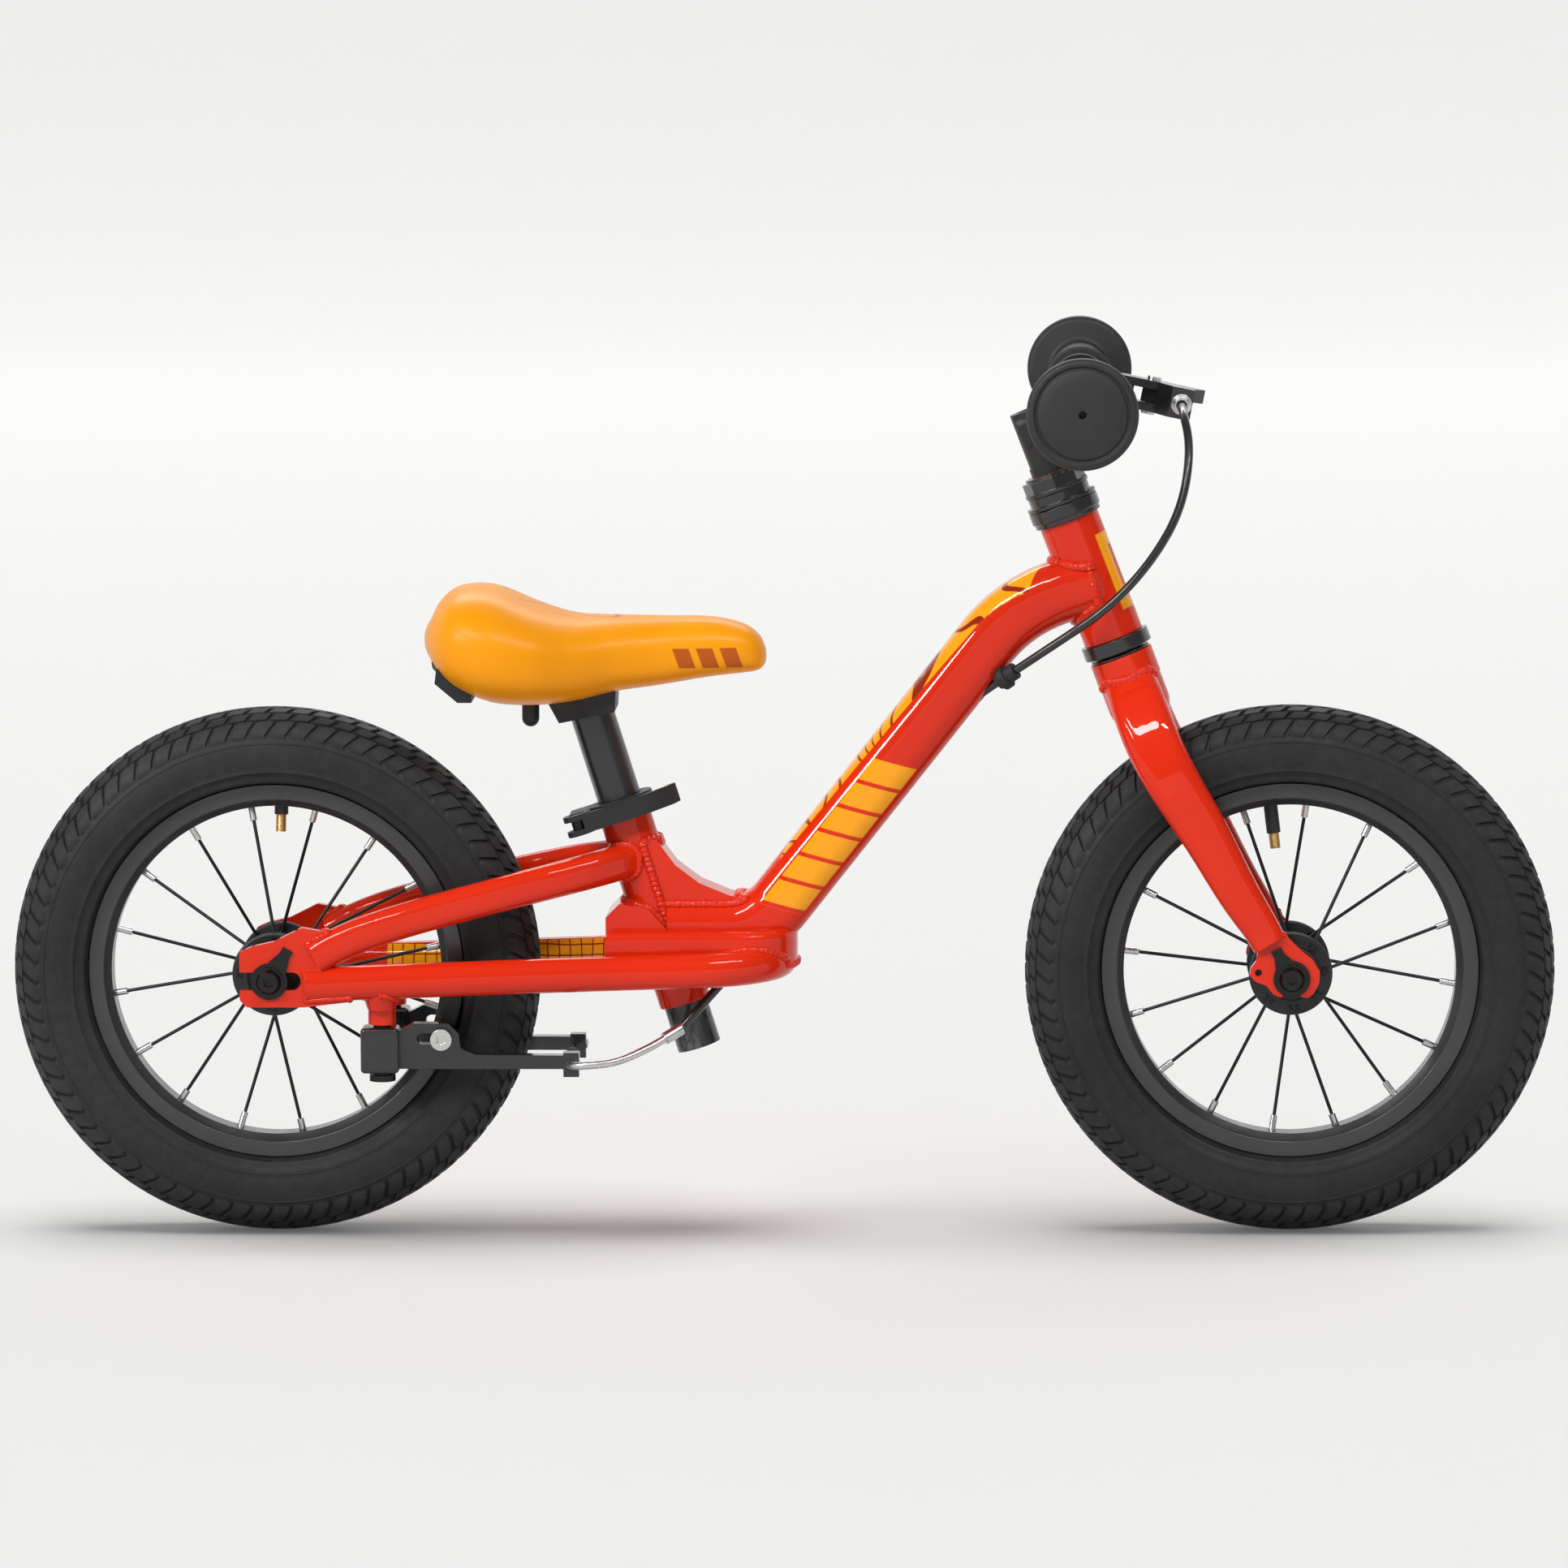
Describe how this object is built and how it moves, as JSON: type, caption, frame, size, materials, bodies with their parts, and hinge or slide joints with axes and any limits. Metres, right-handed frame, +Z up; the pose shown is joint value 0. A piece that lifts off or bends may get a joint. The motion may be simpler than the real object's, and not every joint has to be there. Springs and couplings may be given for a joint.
{
  "type": "balance bike",
  "caption": "Child's balance bike with spoked wheels, bent alloy frame, threaded-headset fork, padded saddle on a quick-release post and a rear rim brake worked by a bar lever.",
  "frame": {"origin": "on the ground, halfway between the axles, in the centre plane", "axes": "+X forward, +Y to the rider's left, +Z up"},
  "size_m": [0.8895, 0.392, 0.5169],
  "materials": {
    "frame_paint": "glossy red-orange paint under clear coat",
    "black_paint": "satin black paint",
    "black_alloy": "satin black anodised aluminium",
    "steel": "zinc plated steel",
    "black_steel": "black oxide steel",
    "black_rubber": "moulded black rubber",
    "tyre_rubber": "black tyre rubber",
    "black_plastic": "moulded black plastic",
    "saddle_vinyl": "smooth orange vinyl"
  },
  "bodies": {
    "frame": {"head_tube": "frame_paint", "main_tube": "frame_paint", "frame_gusset": "frame_paint", "seat_tube": "frame_paint", "bottom_yoke": "frame_paint", "lower_stay_loop": "frame_paint", "upper_stays": "frame_paint", "rear_dropouts": "frame_paint", "brake_bosses": "frame_paint", "brake_pivot_bolts": "steel", "headset_cups": "black_paint", "headset_bearings": "steel", "seat_clamp": "black_alloy", "seat_clamp_skewer": "steel", "cable_port": "black_rubber", "brake_housing_rear": "black_rubber", "rear_axle": "steel", "rear_axle_hardware": "black_steel"},
    "seat": {"seat_post": "black_paint", "saddle_base": "black_plastic", "saddle_cover": "saddle_vinyl", "saddle_bolt": "steel"},
    "seat_clamp_lever": {"seat_clamp_lever": "black_alloy"},
    "steering": {"fork_crown": "frame_paint", "fork_blades": "frame_paint", "fork_dropouts": "frame_paint", "headset_races": "black_paint", "headset_lock_nut": "black_paint", "stem": "black_alloy", "stem_hardware": "steel", "handlebar": "black_alloy", "grips": "black_rubber", "brake_lever_bracket": "black_alloy", "lever_pivot_pin": "steel", "cable_adjuster": "steel", "front_axle": "steel", "front_axle_hardware": "black_steel", "brake_housing_front": "black_rubber"},
    "brake_lever": {"brake_lever": "black_alloy"},
    "brake_arm_right": {"brake_arm_right": "black_alloy", "brake_pad_right": "black_rubber", "brake_noodle": "steel", "brake_inner_wire": "black_plastic"},
    "brake_arm_left": {"brake_arm_left": "black_alloy", "brake_pad_left": "black_rubber", "brake_cable_anchor": "steel"},
    "front_wheel": {"front_tyre": "tyre_rubber", "front_inner_tube": "black_rubber", "front_rim": "black_alloy", "front_hub": "black_alloy", "front_spokes": "black_steel", "front_nipples": "steel", "front_bearings": "steel"},
    "rear_wheel": {"rear_tyre": "tyre_rubber", "rear_inner_tube": "black_rubber", "rear_rim": "black_alloy", "rear_hub": "black_alloy", "rear_spokes": "black_steel", "rear_nipples": "steel", "rear_bearings": "steel"}
  },
  "joints": [
    {"name": "steering_turn", "type": "hinge", "parent": "frame", "child": "steering", "pos_m": [0.1912, 0, 0.3441], "axis": [-0.3551, 0, 0.9348], "range_deg": [-60, 60], "deforming": ["brake_housing_front"]},
    {"name": "front_wheel_spin", "type": "hinge", "parent": "steering", "child": "front_wheel", "pos_m": [0.2923, 0, 0.1525], "axis": [0, 1, 0], "continuous": true},
    {"name": "rear_wheel_spin", "type": "hinge", "parent": "frame", "child": "rear_wheel", "pos_m": [-0.2923, 0, 0.1525], "axis": [0, 1, 0], "continuous": true},
    {"name": "seat_height", "type": "slide", "parent": "frame", "child": "seat", "axis": [-0.299, 0, 0.9542], "range_m": [-0.03, 0.05]},
    {"name": "seat_clamp_open", "type": "hinge", "parent": "frame", "child": "seat_clamp_lever", "pos_m": [-0.11579, -0.018, 0.2386], "axis": [0.299, 0, -0.9542], "range_deg": [0, 150]},
    {"name": "brake_lever_pull", "type": "hinge", "parent": "steering", "child": "brake_lever", "pos_m": [0.21366, 0.078, 0.47763], "axis": [0.1994, 0, 0.9799], "range_deg": [0, 23], "stiffness_Nm_per_rad": 1, "springref_deg": -5.73},
    {"name": "brake_arm_right_close", "type": "hinge", "parent": "frame", "child": "brake_arm_right", "pos_m": [-0.229, -0.04, 0.11], "axis": [0, 0, 1], "range_deg": [0, 2.3], "deforming": ["brake_housing_rear", "brake_inner_wire"]},
    {"name": "brake_arm_left_close", "type": "hinge", "parent": "frame", "child": "brake_arm_left", "pos_m": [-0.229, 0.04, 0.11], "axis": [0, 0, 1], "range_deg": [-2.3, 0]}
  ],
  "couplings": [
    {"joint": "brake_arm_right_close", "follows": "brake_lever_pull", "ratio": 0.1},
    {"joint": "brake_arm_left_close", "follows": "brake_lever_pull", "ratio": -0.1}
  ]
}
